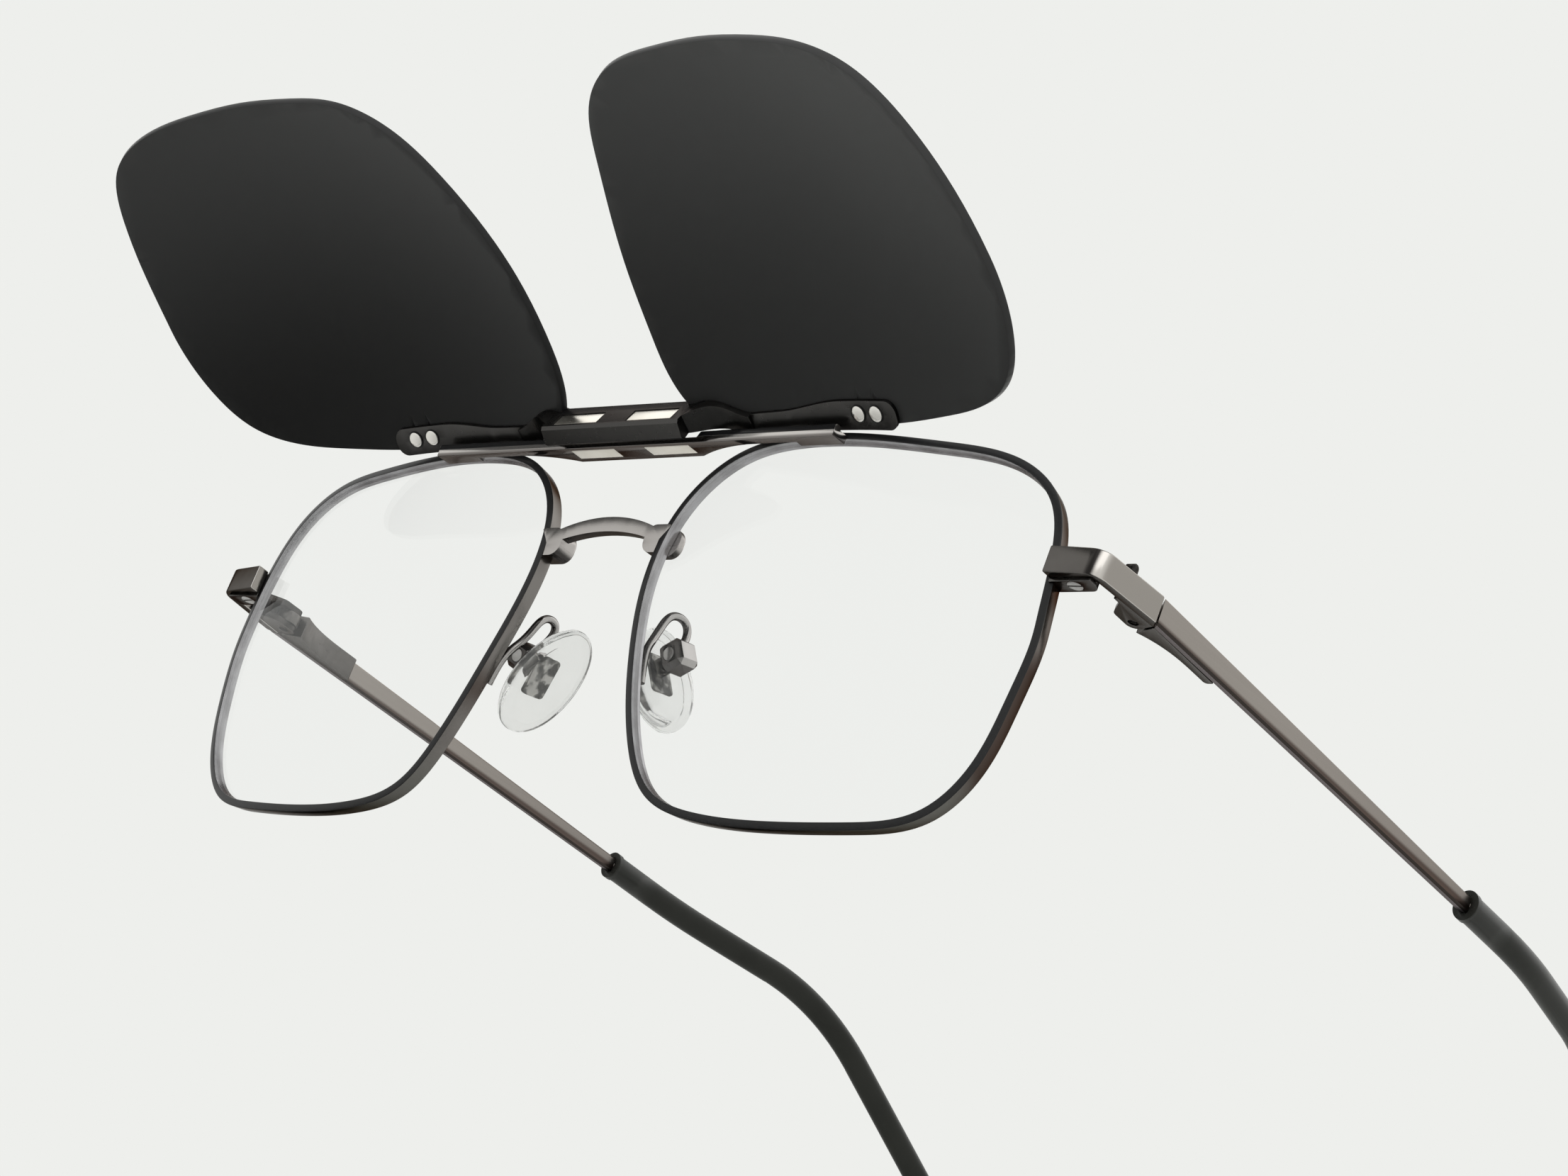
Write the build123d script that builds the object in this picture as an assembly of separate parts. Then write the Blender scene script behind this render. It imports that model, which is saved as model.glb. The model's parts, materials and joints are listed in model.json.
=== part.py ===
from build123d import *
import os
from math import cos, radians, sin

# All lengths are in millimetres and all angles in degrees.
# X runs across the face, -Y is the front and +Z is up.
# The shapes are drawn about the mid-plane, the brow bar's front face and the lens line,
# and are moved at the end so that the origin is the middle of the magnet seat.

# Rims and clear lenses
lens_width = 54.7
lens_height = 46.4
bridge_width = 20.0
lens_line_drop = 0.7
base_radius = 143.0
face_form = 5.2
rim_setback = 0.35
rim_wall = 0.9
rim_depth = 1.9
lens_thickness = 1.0
lens_set = 0.45
lens_bevel = 0.35
groove_clearance = 0.04
lock_gap = 0.15

# Shares of the lens width and height, from the middle of the lens, temple side first
rim_outline_shares = [
    (0.499, 0.026), (0.482, 0.220), (0.439, 0.358), (0.349, 0.439), (0.166, 0.478),
    (-0.044, 0.498), (-0.227, 0.497), (-0.367, 0.459), (-0.466, 0.345), (-0.500, 0.177),
    (-0.461, -0.082), (-0.384, -0.319), (-0.307, -0.438), (-0.172, -0.491),
    (0.011, -0.501), (0.212, -0.484), (0.367, -0.433), (0.444, -0.321), (0.484, -0.147),
]

# Brow bar, with its notch for the clip and its feet on the rims
bar_length = 65.0
bar_depth = 1.1
bar_height = 1.65
bar_bevel = 0.25
notch_width = 23.4
notch_slant = 0.5
seat_height = 22.4
foot_length = 6.3
foot_height = 1.15

# Magnet plate behind the bar, and the pair of magnets in it
plate_thickness = 0.75
seat_depth = 3.2
plate_flat = 20.0
plate_reach = 37.0
plate_waist_share = 0.30
magnet_length = 7.1
magnet_width = 1.9
magnet_gap = 5.0
magnet_middle = 1.55
magnet_clearance = 0.03

# Lower bridge between the rims
arch_top = 13.1
arch_height = 1.9
arch_rise = 2.0
arch_end_height = 1.5
arch_setback = 1.5
arch_thickness = 1.15
lobe_width = 4.6
lobe_height = 3.6
lobe_drop = 3.0
lobe_reach = 4.3
lobe_round = 1.5

# End piece, from the rim's front round to the hinge, in the temple's sloping plane
temple_pitch = 3.15
hinge_inset = 3.15
hinge_y = 15.8
hinge_z = 7.43
strap_height = 3.25
strap_thickness = 1.1
strap_overlap = 0.1
strap_reach = 7.75
strap_front_y = 4.62
strap_flare = 1.0
strap_corner_y = 5.55
strap_bend_radius = 2.3
strap_mitre = 1.15
strap_end_gap = 0.1

# Rim lock: two halves drawn together by a screw from below
lock_inset = 2.15
lock_rear_y = 8.4
lock_round = 1.1
lock_bottom = 2.02
lock_leaf = 0.8
lock_top = 1.35
lock_screw_inset = 4.85
lock_screw_y = 7.2
screw_head_radius = 0.92
screw_shank_radius = 0.5
screw_head_height = 0.4
screw_slot = 0.28
thread_clearance = 0.02

# Front hinge leaf: a fork with an upright tongue
leaf_height = 3.1
leaf_inner = 1.2
leaf_end = 1.65
leaf_front = 5.2
leaf_step = 3.6
leaf_taper = 2.2
leaf_round = 1.1
fork_gap = 1.6
fork_root = 3.1
tongue_width = 1.1
tongue_depth = 1.1
tongue_top = 2.9
pin_radius = 0.6
pin_recess = 0.35
pin_fit = 0.03

# Spring hinge: an eye on a stem that slides in the temple's housing
eye_height = 1.5
eye_radius = 1.45
neck_width = 1.5
neck_end = 1.3
stem_offset = 1.35
stem_radius = 0.35
stem_end = 7.0
stem_head_radius = 0.5
stem_head = 0.5
spring_travel = 1.0
spring_wall = 0.15
bush_length = 1.0
slide_fit = 0.04
housing_front = 2.2
housing_end = 13.4
housing_inner = 1.1
housing_height = 3.0
housing_thin = 1.05
housing_round = 0.5
housing_shares = [(0.22, 0.42), (0.45, 0.12), (0.72, 0.02)]

# Temple strip, its core wire and the moulded tip
temple_toe = 0.75
strip_thickness = 1.2
strip_mid_height = 3.05
strip_mid = 14.0
strip_end_height = 2.1
strip_length = 69.0
strip_bevel = 0.28
joint_gap = 0.12
core_radius = 0.65
core_length = 12.0
core_fit = 0.03
tip_width = 3.1
tip_height = 3.6
tip_lip = 0.15
tip_lip_length = 0.9
tip_start_run = 15.0
tip_bend_inset = 7.35
tip_bend_y = 128.0
tip_bend_z = 1.2
tip_end_inset = 17.95
tip_end_y = 159.6
tip_end_z = -23.9
tip_first_radius = 70.0
tip_bend_radius = 34.0
tip_round = 1.3

# Nose pads on their bent arms
pad_length = 14.0
pad_width = 8.0
pad_thickness = 2.2
pad_round = 0.9
pad_x = 9.35
pad_y = 8.1
pad_z = -4.6
pad_flare = 26.0
pad_rake = 9.5
pad_splay = 6.0
pad_box_out = 4.0
pad_box_up = 0.7
pad_box_size = 3.4
pad_box_bevel = 0.6
pad_slot_slack = 0.35
insert_length = 5.0
insert_width = 3.2
insert_thickness = 0.5
insert_inset = 0.25
stem_plate = 1.0
stem_plate_length = 2.0
pad_screw_radius = 0.45
pad_screw_head = 0.8
pad_screw_head_height = 0.35
pad_fit = 0.03
arm_radius = 0.48
arm_points = [
    (12.7, 3.4, -7.6), (11.55, 3.4, -3.4), (10.45, 4.3, 0.2),
    (10.5, 5.6, 2.35), (10.9, 8.1, 2.1), (11.55, 7.65, -0.9),
]
arm_bend_radii = [1.6, 2.2, 1.0, 0.9]

# Tinted clip: lenses, bridge with its tab, magnets and rivets, drawn as it is worn
clip_turn = 118.0
seat_pole_y = -0.25
seat_pole_z = 24.54
clip_lens_width = 57.5
clip_lens_height = 49.4
clip_center_x = 37.6
clip_center_z = 2.1
clip_radius = 106.0
clip_form = 5.0
clip_vertex_x = 36.87
clip_vertex_y = -2.75
clip_vertex_z = 4.7
clip_thickness = 0.9
clip_outline_shares = [
    (0.499, 0.052), (0.476, 0.237), (0.416, 0.358), (0.317, 0.430), (0.193, 0.468),
    (0.060, 0.492), (-0.080, 0.500), (-0.236, 0.498), (-0.376, 0.480), (-0.455, 0.437),
    (-0.492, 0.352), (-0.500, 0.231), (-0.489, 0.053), (-0.425, -0.224),
    (-0.369, -0.360), (-0.266, -0.457), (-0.137, -0.488), (-0.012, -0.500),
    (0.133, -0.497), (0.270, -0.478), (0.386, -0.411), (0.456, -0.261), (0.487, -0.103),
]
tab_width = 22.4
tab_front = 1.23
tab_depth = 4.5
tab_thickness = 2.3
tab_bevel = 0.35
tab_corner = 1.6
pocket_margin = 0.12
pocket_depth = 0.08
clip_magnet_thickness = 1.2
arm_strap_thickness = 0.45
arm_strap_low = 23.6
arm_strap_high = 27.0
arm_strap_start = 19.0
arm_strap_end = 41.0
arm_strap_round = 1.5
arm_neck = 0.8
arm_neck_share = 0.25
arm_full_share = 0.62

# Saddle sections: share of the run from tab to arm, then front and rear of the tab's depth and
# low and high of its thickness
saddle_shares = [
    (0.0, 0.03, 0.80, 0.10, 0.90), (0.21, -0.06, 0.72, -0.02, 1.08), (0.40, -0.06, 0.47, -0.04, 1.26),
    (0.64, -0.01, 0.27, 0.28, 1.56),
]
rivet_first_x = 35.1
rivet_pitch = 2.74
rivet_z = 25.2
rivet_shank_radius = 0.45
rivet_head_radius = 1.05
rivet_dome = 0.32
rivet_fit = 0.03
rivet_lift = 0.01

# One overrun serves every cut
overrun = 6.0

os.makedirs("parts", exist_ok=True)
seat_middle = seat_depth / 2
to_seat = Pos(0, -seat_middle, -seat_height)
lens_x = (bridge_width + lens_width) / 2
half_strap = strap_height / 2
strap_nasal_x = lens_x + lens_width / 2 - strap_overlap
strap_outer_x = strap_nasal_x + strap_reach
strap_corner_x = strap_outer_x - strap_flare
hinge_x = strap_outer_x - hinge_inset
strap_end_y = hinge_y - strap_end_gap
lock_outer_x = strap_outer_x - lock_inset
lock_screw_x = strap_outer_x - lock_screw_inset
SIDES = (("left", 1), ("right", -1))


def keep(node, solid):
    """Write one node, moved so that the magnet seat is the origin."""
    export_step(to_seat * solid, f"parts/{node}.step")


def keep_pair(name, solid):
    """Write the wearer's left piece and its mirror image on the right."""
    keep(f"{name}_left", solid)
    keep(f"{name}_right", mirror(solid, about=Plane.YZ))


def block(x_low, x_high, y_low, y_high, z_low, z_high):
    """A plain block between its six faces."""
    middle = Pos((x_low + x_high) / 2, (y_low + y_high) / 2, (z_low + z_high) / 2)
    return middle * Box(x_high - x_low, y_high - y_low, z_high - z_low)


def on_sphere(x, z, apex, radius):
    """The point of a lens's sphere that lies straight behind this place on the front."""
    depth = (radius**2 - (x - apex.X) ** 2 - (z - apex.Z) ** 2) ** 0.5
    return Vector(x, apex.Y - depth, z)


def outline_face(shares, width, height, middle_x, middle_z, sign, apex, radius, grow=0):
    """A lens outline, grown outwards, on its sphere and drawn out to the bar's front plane."""
    places = [Vector(middle_x + across * width, middle_z + up * height) for across, up in shares]
    points = []
    for i, place in enumerate(places):
        along = (places[(i + 1) % len(places)] - places[i - 1]).normalized()
        place = place + Vector(along.Y, -along.X) * grow
        point = on_sphere(sign * place.X, place.Y, apex, radius)
        points.append(apex + (point - apex) * (apex.Y / (apex.Y - point.Y)))
    return make_face(Spline(*points, periodic=True))


def lens_core(face, apex, front_y, rear_y):
    """The outline drawn along lines that meet at the middle of the lens's sphere."""
    sections = []
    for y in (front_y, rear_y):
        sections.append(scale(face, by=(apex.Y - y) / apex.Y, about=apex))
    return loft(sections, ruled=True)


def slab(core, apex, outer, inner):
    """The part of a lens core between two spheres."""
    return (core & (Pos(apex) * Sphere(outer))) - (Pos(apex) * Sphere(inner))


# Rims: a channel section bent to the lens outline and to the lens's sphere, split at the lock
core_rear = lens_width / 2
in_temple = Pos(0, hinge_y, hinge_z) * Rot(-temple_pitch, 0, 0) * Pos(0, -hinge_y, 0)
lens_front = base_radius - lens_set
lens_rear = lens_front - lens_thickness
rim_apexes = {}
rim_blanks = {}
for side, sign in SIDES:
    apex = Vector(sign * (lens_x - base_radius * sin(radians(face_form))), rim_setback + base_radius, 0)
    cores = []
    for grow in (0, lens_bevel, lens_bevel + groove_clearance, rim_wall):
        edge = outline_face(
            rim_outline_shares, lens_width, lens_height, lens_x, -lens_line_drop, sign, apex, base_radius,
            grow,
        )
        cores.append(lens_core(edge, apex, -overrun, core_rear))
    bore, lens_edge, groove_edge, rim_core = cores
    lens = slab(lens_edge, apex, lens_front, lens_rear)
    groove = slab(groove_edge, apex, lens_front + groove_clearance, lens_rear - groove_clearance)
    slit_ends = sorted((sign * lens_x, sign * lock_outer_x))
    slit = in_temple * block(
        *slit_ends, 0, hinge_y, lock_leaf - lock_bottom, lock_leaf - lock_bottom + lock_gap
    )
    rim_apexes[side] = apex
    rim_blanks[side] = slab(rim_core, apex, base_radius, base_radius - rim_depth)
    keep(f"rim_{side}", rim_blanks[side] - bore - groove - slit)
    keep(f"lens_{side}", lens)
rim_apex = rim_apexes["left"]
rim_blank = rim_blanks["left"]

# Brow bar: a flat strip with slanted notch ends, a bevelled top and two feet that reach the rims
bar_low = seat_height - plate_thickness
bar_top = bar_low + bar_height
half_notch = notch_width / 2
half_seat_notch = half_notch - notch_slant
bar_face = make_face(
    Polyline(
        (-bar_length / 2, 0, bar_low), (bar_length / 2, 0, bar_low), (bar_length / 2, 0, bar_top),
        (half_notch, 0, bar_top), (half_seat_notch, 0, seat_height), (-half_seat_notch, 0, seat_height),
        (-half_notch, 0, bar_top), (-bar_length / 2, 0, bar_top), close=True,
    )
)
bar = extrude(bar_face, amount=bar_depth, dir=(0, 1, 0))
bar = chamfer(bar.edges().filter_by(Axis.X).group_by(Axis.Z)[-1].group_by(Axis.Y)[0], bar_bevel)
foot = block(
    bar_length / 2 - foot_length, bar_length / 2, bar_depth, seat_depth, bar_low, bar_low + foot_height
)
foot = foot - (Pos(rim_apex) * Sphere(base_radius))
bar = bar + foot + mirror(foot, about=Plane.YZ)

# Magnet plate: straight behind the magnets, then curving in to the back of the bar
half_flat = plate_flat / 2
half_reach = plate_reach / 2
waist_x = (half_flat + half_reach) / 2
waist_y = bar_depth + plate_waist_share * (seat_depth - bar_depth)
plate_edge = [
    Line((-half_reach, bar_depth, bar_low), (half_reach, bar_depth, bar_low)),
    ThreePointArc(
        (half_reach, bar_depth, bar_low), (waist_x, waist_y, bar_low), (half_flat, seat_depth, bar_low)
    ),
    Line((half_flat, seat_depth, bar_low), (-half_flat, seat_depth, bar_low)),
    ThreePointArc(
        (-half_flat, seat_depth, bar_low), (-waist_x, waist_y, bar_low), (-half_reach, bar_depth, bar_low)
    ),
]
plate = extrude(make_face(Wire(plate_edge)), amount=plate_thickness, dir=(0, 0, 1))
magnet_x = (magnet_gap + magnet_length) / 2
for side in (-1, 1):
    slot = Pos(side * magnet_x, magnet_middle, seat_height) * Box(
        magnet_length + 2 * magnet_clearance, magnet_width + 2 * magnet_clearance, overrun
    )
    bar = bar - slot
    plate = plate - slot
keep("brow_bar", bar)
keep("magnet_plate", plate)
magnet = Pos(magnet_x, magnet_middle, seat_height - plate_thickness / 2) * Box(
    magnet_length, magnet_width, plate_thickness
)
keep_pair("frame_magnet", magnet)

# Lower bridge: an arched strip whose ends swell into lobes soldered behind the rims
arch_end = bridge_width / 2 - rim_wall
arch_low = arch_top - arch_height
end_top = arch_top - arch_rise
end_low = end_top - arch_end_height
arch_edge = [
    ThreePointArc(
        (-arch_end, arch_setback, end_top), (0, arch_setback, arch_top), (arch_end, arch_setback, end_top)
    ),
    Line((arch_end, arch_setback, end_top), (arch_end, arch_setback, end_low)),
    ThreePointArc(
        (arch_end, arch_setback, end_low), (0, arch_setback, arch_low), (-arch_end, arch_setback, end_low)
    ),
    Line((-arch_end, arch_setback, end_low), (-arch_end, arch_setback, end_top)),
]
arch = extrude(make_face(Wire(arch_edge)), amount=arch_thickness, dir=(0, 1, 0))
lobe_plane = Plane(origin=(arch_end, arch_setback, arch_top - lobe_drop), z_dir=(0, 1, 0), x_dir=(1, 0, 0))
lobe = extrude(lobe_plane * RectangleRounded(lobe_width, lobe_height, lobe_round), lobe_reach - arch_setback)
lobe = fillet(lobe.faces().sort_by(Axis.Y)[-1].edges(), lobe_round / 3)
bridge = arch + lobe + mirror(lobe, about=Plane.YZ) - rim_blanks["left"] - rim_blanks["right"]
keep("nose_bridge", bridge)

# End piece: a strap over the rim's front, bent round the corner and mitred at the hinge
strap_path = FilletPolyline(
    (strap_nasal_x, strap_front_y, 0), (strap_corner_x, strap_corner_y, 0),
    (strap_outer_x, strap_end_y, 0), radius=strap_bend_radius,
)
inner_x = strap_outer_x - strap_thickness
inner_path = FilletPolyline(
    (strap_nasal_x, strap_front_y + strap_thickness, 0),
    (strap_corner_x - strap_thickness, strap_corner_y + strap_thickness, 0),
    (inner_x, strap_end_y + strap_mitre, 0), radius=strap_bend_radius - strap_thickness,
)
strap_face = make_face([
    *strap_path.edges(), *inner_path.edges(),
    Line((strap_nasal_x, strap_front_y, 0), (strap_nasal_x, strap_front_y + strap_thickness, 0)),
    Line((strap_outer_x, strap_end_y, 0), (inner_x, strap_end_y + strap_mitre, 0)),
])
strap = in_temple * Pos(0, 0, -half_strap) * extrude(strap_face, amount=strap_height, dir=(0, 0, 1))
strap_pad = in_temple * block(
    strap_nasal_x, strap_nasal_x + 2 * rim_wall, strap_front_y + strap_thickness / 2, lock_rear_y,
    -half_strap, half_strap,
)
strap_pad = strap_pad - (Pos(rim_apex) * Sphere(base_radius))
end_piece = strap + strap_pad
keep_pair("end_piece", end_piece)

# Rim lock: the upper half behind the strap, the lower half drawn up to it by the screw
lock_front_y = strap_corner_y + strap_thickness / 2
lock_face = make_face(
    Polyline(
        (strap_nasal_x, lock_front_y, -lock_bottom), (lock_outer_x, lock_front_y, -lock_bottom),
        (lock_outer_x, lock_rear_y, -lock_bottom), (strap_nasal_x, lock_rear_y, -lock_bottom), close=True,
    )
)
lock_face = fillet(lock_face.vertices().sort_by(Axis.X)[2:].sort_by(Axis.Y)[-1], lock_round)
lock_split = lock_leaf - lock_bottom
lock_screw_at = Pos(lock_screw_x, lock_screw_y, -lock_bottom)
head_seat = screw_head_radius + thread_clearance
lock_hole = lock_screw_at * (
    Cylinder(head_seat, screw_head_height, align=(Align.CENTER, Align.CENTER, Align.MIN))
    + Cylinder(
        screw_shank_radius + thread_clearance, lock_bottom + lock_top / 2,
        align=(Align.CENTER, Align.CENTER, Align.MIN),
    )
)
lower_half = extrude(lock_face, amount=lock_leaf, dir=(0, 0, 1)) - lock_hole
upper_half = Pos(0, 0, lock_leaf + lock_gap) * extrude(
    lock_face, amount=lock_top - lock_split - lock_gap, dir=(0, 0, 1)
)
upper_half = upper_half - lock_hole
keep_pair("rim_lock_lower", in_temple * lower_half - end_piece - rim_blank)
keep_pair("rim_lock_upper", in_temple * upper_half - end_piece - rim_blank)
lock_screw = lock_screw_at * (
    Cylinder(screw_head_radius, screw_head_height, align=(Align.CENTER, Align.CENTER, Align.MIN))
    + Cylinder(
        screw_shank_radius, (lock_bottom + lock_top) / 2, align=(Align.CENTER, Align.CENTER, Align.MIN)
    )
)
driver_slot = lock_screw_at * Rot(0, 0, temple_pitch) * Box(overrun, screw_slot, screw_head_height)
keep_pair("rim_lock_screw", in_temple * (lock_screw - driver_slot))

# Front hinge leaf: a fork soldered inside the strap, with an upright tongue at its front
half_leaf = leaf_height / 2
leaf_face = make_face(
    Polyline(
        (strap_outer_x - strap_thickness, hinge_y - leaf_front, 0),
        (hinge_x - leaf_inner, hinge_y - leaf_taper, 0),
        (hinge_x - leaf_inner, hinge_y + leaf_end, 0),
        (strap_outer_x - strap_thickness, hinge_y + leaf_end / 2, 0), close=True,
    )
)
leaf_face = fillet(leaf_face.vertices().sort_by(Axis.X)[:2], leaf_round)
leaf = Pos(0, 0, -half_leaf) * extrude(leaf_face, amount=leaf_height, dir=(0, 0, 1))
fork_slot = block(
    hinge_x - eye_radius - pin_radius, overrun + strap_outer_x, hinge_y - fork_root, hinge_y + overrun,
    -fork_gap / 2, fork_gap / 2,
)
tongue_y = hinge_y - leaf_front
tongue_x = strap_outer_x - strap_thickness - tongue_width
tongue = block(
    tongue_x, strap_outer_x - strap_thickness, tongue_y, tongue_y + tongue_depth, -half_leaf, tongue_top
)
tongue = fillet(tongue.edges().filter_by(Axis.X).group_by(Axis.Z)[-1], tongue_depth / 2 - pin_fit)
pin_hole = Pos(hinge_x, hinge_y, 0) * Cylinder(pin_radius + thread_clearance, overrun)
leaf = leaf + tongue - fork_slot - pin_hole
keep_pair("hinge_leaf", in_temple * leaf - strap)
pin = Pos(hinge_x, hinge_y, pin_recess / 2) * Cylinder(pin_radius, leaf_height - pin_recess)
pin_slot = Pos(hinge_x, hinge_y, half_leaf) * Box(overrun, screw_slot, pin_recess)
keep_pair("hinge_screw", in_temple * (pin - pin_slot))

# Spring slider: an eye between the fork's prongs, a neck and a stem that ends in a head
in_arm = in_temple * Pos(hinge_x, hinge_y, 0) * Rot(0, 0, temple_toe) * Pos(-hinge_x, -hinge_y, 0)
stem_x = hinge_x + stem_offset
along_stem = Plane(origin=(stem_x, hinge_y, 0), z_dir=(0, 1, 0), x_dir=(1, 0, 0))


def stem_part(radius, start, end):
    """A round length of the stem's line, measured back from the hinge."""
    return extrude(along_stem.offset(start) * Circle(radius), end - start)


eye = Pos(hinge_x, hinge_y, 0) * Cylinder(eye_radius, eye_height)
slider = eye + block(
    hinge_x - neck_width / 2, hinge_x + neck_width / 2, hinge_y, hinge_y + neck_end, -eye_height / 2,
    eye_height / 2,
)
slider = slider + stem_part(stem_radius, 0, stem_end)
slider = slider + stem_part(stem_head_radius, stem_end - stem_head, stem_end)
slider = slider - (Pos(hinge_x, hinge_y, 0) * Cylinder(pin_radius + pin_fit, overrun))
keep_pair("hinge_slider", in_arm * slider)

# Spring housing: square at the hinge and scooped to a thin rounded end along the temple
strip_inner = strap_outer_x - strip_thickness
housing_length = housing_end - housing_front
housing_depth = strip_inner - housing_thin - (hinge_x - housing_inner)
housing_points = [(hinge_x - housing_inner, hinge_y + housing_front, 0)]
for along, inward in housing_shares:
    housing_points.append((
        strip_inner - housing_thin - inward * housing_depth,
        hinge_y + housing_front + along * housing_length, 0,
    ))
housing_points.append((strip_inner - housing_thin, hinge_y + housing_end, 0))
housing_plan = make_face([
    Spline(*housing_points),
    *Polyline(
        housing_points[-1], (strip_inner, hinge_y + housing_end, 0),
        (strip_inner, hinge_y + strap_mitre + joint_gap, 0), housing_points[0],
    ).edges(),
])
housing = Pos(0, 0, -housing_height / 2) * extrude(housing_plan, amount=housing_height, dir=(0, 0, 1))
housing = fillet(housing.edges().filter_by(Axis.Z).sort_by(Axis.Y)[-2:].sort_by(Axis.X)[0], housing_round)
spring_end = stem_end - stem_head - spring_travel - spring_wall
bush_bore = stem_radius + slide_fit
spring_bore = stem_head_radius + slide_fit
housing_bores = stem_part(bush_bore, 0, housing_front + bush_length)
housing_bores = housing_bores + stem_part(
    spring_bore, housing_front + bush_length, stem_end + spring_travel / 2
)
keep_pair("spring_housing", in_arm * (housing - housing_bores))
spring = stem_part(bush_bore + spring_wall - slide_fit, housing_front + bush_length, spring_end)
spring = spring - stem_part(stem_radius + slide_fit, 0, stem_end)
keep_pair("hinge_spring", in_arm * spring)

# Temple: a bevelled strip that narrows to the tip, with a round core wire inside the tip
strip_face = make_face(
    Polyline(
        (strip_inner, hinge_y, -half_strap), (strip_inner, hinge_y + strip_mid, -strip_mid_height / 2),
        (strip_inner, hinge_y + strip_length, -strip_end_height / 2),
        (strip_inner, hinge_y + strip_length, strip_end_height / 2),
        (strip_inner, hinge_y + strip_mid, strip_mid_height / 2), (strip_inner, hinge_y, half_strap),
        close=True,
    )
)
strip = extrude(strip_face, amount=strip_thickness, dir=(1, 0, 0))
long_edges = [e for e in strip.edges() if e.length > strip_mid - strip_thickness]
strip = chamfer(long_edges, strip_bevel)
mitre_face = make_face(
    Polyline(
        (strip_inner - overrun, hinge_y - overrun, 0),
        (strip_inner - overrun, hinge_y + strap_mitre + joint_gap, 0),
        (strip_inner, hinge_y + strap_mitre + joint_gap, 0),
        (strap_outer_x, strap_end_y + 2 * joint_gap, 0),
        (strap_outer_x + overrun, strap_end_y + 2 * joint_gap, 0),
        (strap_outer_x + overrun, hinge_y - overrun, 0), close=True,
    )
)
mitre_cut = Pos(0, 0, -overrun) * extrude(mitre_face, amount=2 * overrun, dir=(0, 0, 1))
strip = strip - mitre_cut
strip_middle_x = strip_inner + strip_thickness / 2
core_plane = Plane(origin=(strip_middle_x, hinge_y + strip_length, 0), z_dir=(0, 1, 0), x_dir=(1, 0, 0))
strip = strip + extrude(core_plane * Circle(core_radius), core_length)
keep_pair("temple", in_arm * strip)

# Temple tip: a moulded sleeve over the core wire, bent down and in behind the ear
tip_start = (in_arm * Pos(strip_middle_x, hinge_y + strip_length, 0)).position
tip_second = (in_arm * Pos(strip_middle_x, hinge_y + strip_length + tip_start_run, 0)).position
tip_bend = Vector(strap_outer_x - tip_bend_inset, tip_bend_y, tip_bend_z)
tip_end = Vector(strap_outer_x - tip_end_inset, tip_end_y, tip_end_z)
tip_path = FilletPolyline(
    tip_start, tip_second, tip_bend, tip_end, radius=[tip_first_radius, tip_bend_radius]
)
tip_plane = Plane(origin=tip_start, x_dir=(1, 0, 0), z_dir=tip_second - tip_start)
tip = sweep(tip_plane * Ellipse(tip_width / 2, tip_height / 2), path=tip_path)
lip = extrude(tip_plane * Ellipse(tip_width / 2 + tip_lip, tip_height / 2 + tip_lip), tip_lip_length)
tip = fillet(tip.faces().sort_by(Axis.Y)[-1].edges(), tip_round)
core_bore = extrude(tip_plane * Circle(core_radius + core_fit), core_length + core_fit)
keep_pair("temple_tip", tip + lip - core_bore)

# Nose pads: soft ovals with a metal insert whose tongue is screwed into a box
pad_down = Vector(
    sin(radians(pad_flare)) * cos(radians(pad_rake)), sin(radians(pad_rake)),
    -cos(radians(pad_flare)) * cos(radians(pad_rake)),
)
pad_across = Vector(sin(radians(pad_splay)), cos(radians(pad_splay)), 0)
pad_out = pad_down.cross(pad_across).normalized()
pad_plane = Plane(origin=(pad_x, pad_y, pad_z), x_dir=pad_down, z_dir=pad_out)
half_pad = pad_thickness / 2
pad = pad_plane * Pos(0, 0, -half_pad) * extrude(Ellipse(pad_length / 2, pad_width / 2), pad_thickness)
pad = fillet(pad.edges(), pad_round)
tongue_at = Pos(-pad_box_up, 0, 0)
insert = Pos(0, 0, half_pad - insert_inset - insert_thickness) * extrude(
    RectangleRounded(insert_length, insert_width, insert_thickness), insert_thickness
)
insert = insert + tongue_at * Pos(0, 0, (half_pad - insert_inset + pad_box_out) / 2) * Box(
    stem_plate_length, stem_plate, pad_box_out - half_pad + insert_inset
)
insert = insert + tongue_at * Pos(0, 0, pad_box_out) * Rot(90, 0, 0) * Cylinder(
    stem_plate_length / 2, stem_plate
)
half_box = pad_box_size / 2
screw_bore = tongue_at * Pos(0, 0, pad_box_out) * Rot(90, 0, 0) * Cylinder(
    pad_screw_radius + pad_fit, 2 * overrun
)
keep_pair("nose_pad", pad - pad_plane * insert)
keep_pair("pad_insert", pad_plane * (insert - screw_bore))
pad_box = tongue_at * Pos(0, 0, pad_box_out) * Box(pad_box_size, pad_box_size, pad_box_size)
pad_box = chamfer(pad_box.edges(), pad_box_bevel)
box_slot = tongue_at * Pos(0, 0, pad_box_out - half_box) * Box(
    stem_plate_length + 2 * pad_slot_slack, stem_plate + 2 * pad_fit, 2 * half_box + stem_plate_length
)
head_bore = tongue_at * Pos(0, -half_box, pad_box_out) * Rot(90, 0, 0) * Cylinder(
    pad_screw_head + pad_fit, 2 * pad_screw_head_height
)
pad_box = pad_plane * (pad_box - box_slot - screw_bore - head_bore)
keep_pair("pad_box", pad_box)
pad_screw = tongue_at * Pos(0, 0, pad_box_out) * Rot(90, 0, 0) * Cylinder(pad_screw_radius, pad_box_size)
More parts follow.
